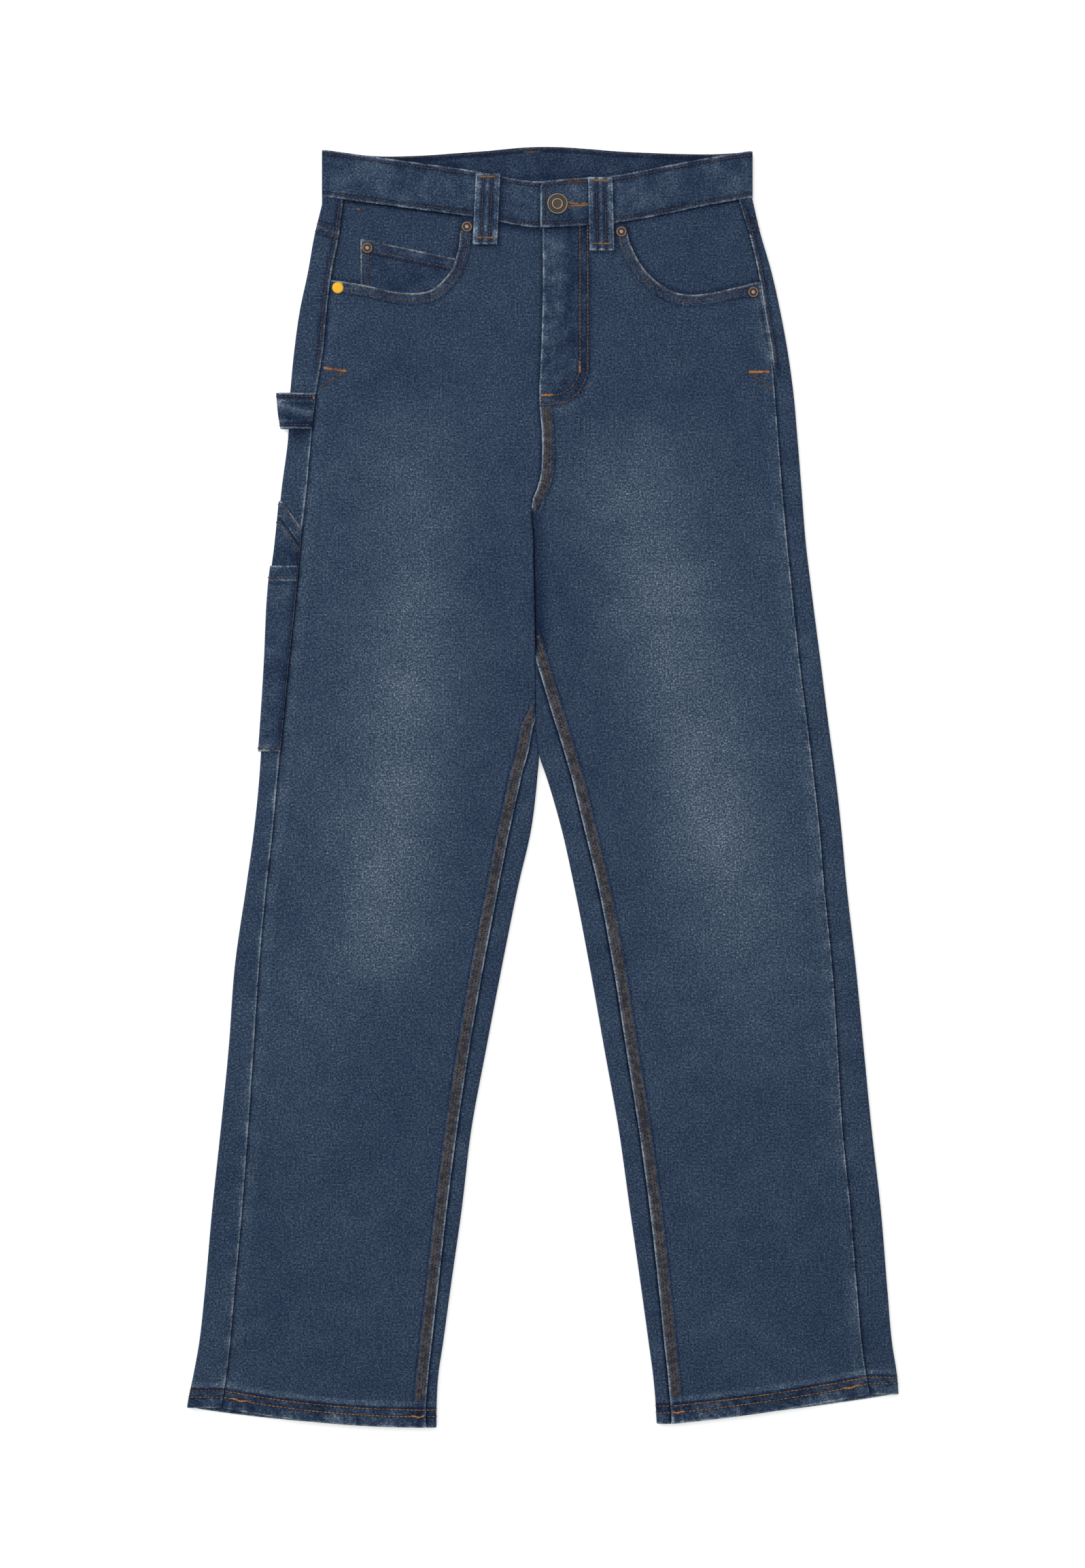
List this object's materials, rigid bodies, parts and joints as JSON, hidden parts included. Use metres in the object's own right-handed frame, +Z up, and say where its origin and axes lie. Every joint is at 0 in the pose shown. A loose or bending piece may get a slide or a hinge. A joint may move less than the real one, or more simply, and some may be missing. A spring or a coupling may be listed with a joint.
{
  "type": "carpenter pants",
  "caption": "Denim carpenter pants laid flat with the front up: wide legs, hammer loop, tool pockets, coin pocket, shank button and rivets.",
  "frame": {"origin": "middle of the laid-out garment's outline, on the floor it rests on", "axes": "+Y up the garment to the waist, +X to the wearer's left, +Z up from the floor out of the front"},
  "size_m": [0.5795, 1.042, 0.0128],
  "materials": {
    "denim": "washed blue stretch denim",
    "thread": "matt sewing thread",
    "antique_copper": "antiqued",
    "antique_brass": "antiqued",
    "yellow_enamel": "glossy enamel"
  },
  "bodies": {
    "root": {"front_right": "denim", "front_left": "denim", "back_right": "denim", "back_left": "denim", "yoke_right": "denim", "yoke_left": "denim", "waistband": "denim", "pocket_facing_right": "denim", "pocket_facing_left": "denim", "coin_pocket": "denim", "belt_loop_front_right": "denim", "belt_loop_front_left": "denim", "belt_loop_back_right": "denim", "belt_loop_back_centre": "denim", "belt_loop_back_left": "denim", "tool_pocket_inner": "denim", "tool_pocket_outer": "denim", "hammer_loop": "denim", "rivet_coin_pocket": "antique_copper", "rivet_scoop_right": "antique_copper", "rivet_scoop_left": "antique_copper", "rivet_side_left": "antique_copper", "rivet_yellow": "yellow_enamel", "button": "antique_brass"}
  },
  "joints": []
}
